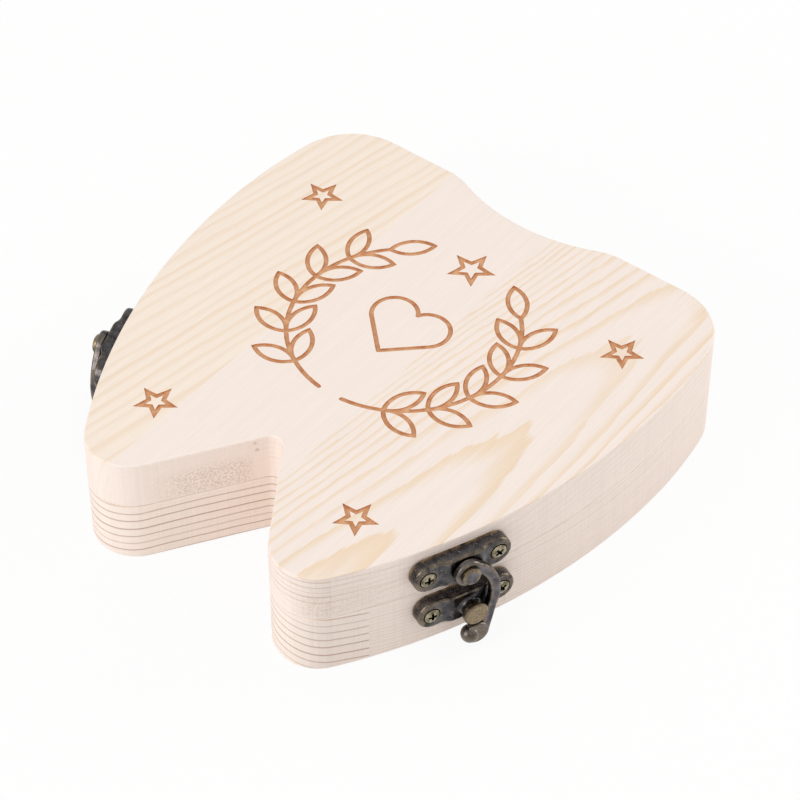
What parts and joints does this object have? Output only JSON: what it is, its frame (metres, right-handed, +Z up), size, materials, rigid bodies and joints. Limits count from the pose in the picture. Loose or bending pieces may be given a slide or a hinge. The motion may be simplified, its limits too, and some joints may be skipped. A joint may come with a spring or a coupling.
{
  "type": "tooth-shaped wooden keepsake box",
  "caption": "Tooth-shaped pine box that keeps milk teeth in milled wells under a hinged lid, closed by a bronze swing hook on each side.",
  "frame": {"origin": "on the underside of the base, under the middle of the wood", "axes": "+Z up out of the lid, +Y from the roots towards the crown, where the hinges are, +X to the right"},
  "size_m": [0.122, 0.128, 0.0294],
  "materials": {
    "base_pine": "sanded, bare",
    "lid_pine": "sanded, bare",
    "antique_bronze": "darkened, rubbed bright on the edges",
    "brassed_screw": "brassed, darkened in the recess"
  },
  "bodies": {
    "base": {"base": "base_pine", "left_hinge_base_leaf": "antique_bronze", "left_hinge_pin": "antique_bronze", "left_catch_plate": "antique_bronze", "right_hinge_base_leaf": "antique_bronze", "right_hinge_pin": "antique_bronze", "right_catch_plate": "antique_bronze", "hinge_screws_base": "brassed_screw", "latch_screws_base": "brassed_screw"},
    "lid": {"lid": "lid_pine", "left_hinge_lid_leaf": "antique_bronze", "left_latch_plate": "antique_bronze", "left_latch_rivet": "antique_bronze", "right_hinge_lid_leaf": "antique_bronze", "right_latch_plate": "antique_bronze", "right_latch_rivet": "antique_bronze", "hinge_screws_lid": "brassed_screw", "latch_screws_lid": "brassed_screw"},
    "left_hook": {"left_latch_hook": "antique_bronze"},
    "right_hook": {"right_latch_hook": "antique_bronze"}
  },
  "joints": [
    {"name": "lid_hinge", "type": "hinge", "parent": "base", "child": "lid", "pos_m": [0, 0.0641, 0.01648], "axis": [-1, 0, 0], "range_deg": [0, 180]},
    {"name": "right_hook_swing", "type": "hinge", "parent": "lid", "child": "right_hook", "pos_m": [0.04917, -0.0319, 0.02297], "axis": [0.9216, -0.3881, 0], "range_deg": [0, 110]},
    {"name": "left_hook_swing", "type": "hinge", "parent": "lid", "child": "left_hook", "pos_m": [-0.05063, -0.0283, 0.02297], "axis": [-0.9313, -0.3642, 0], "range_deg": [0, 110]}
  ]
}
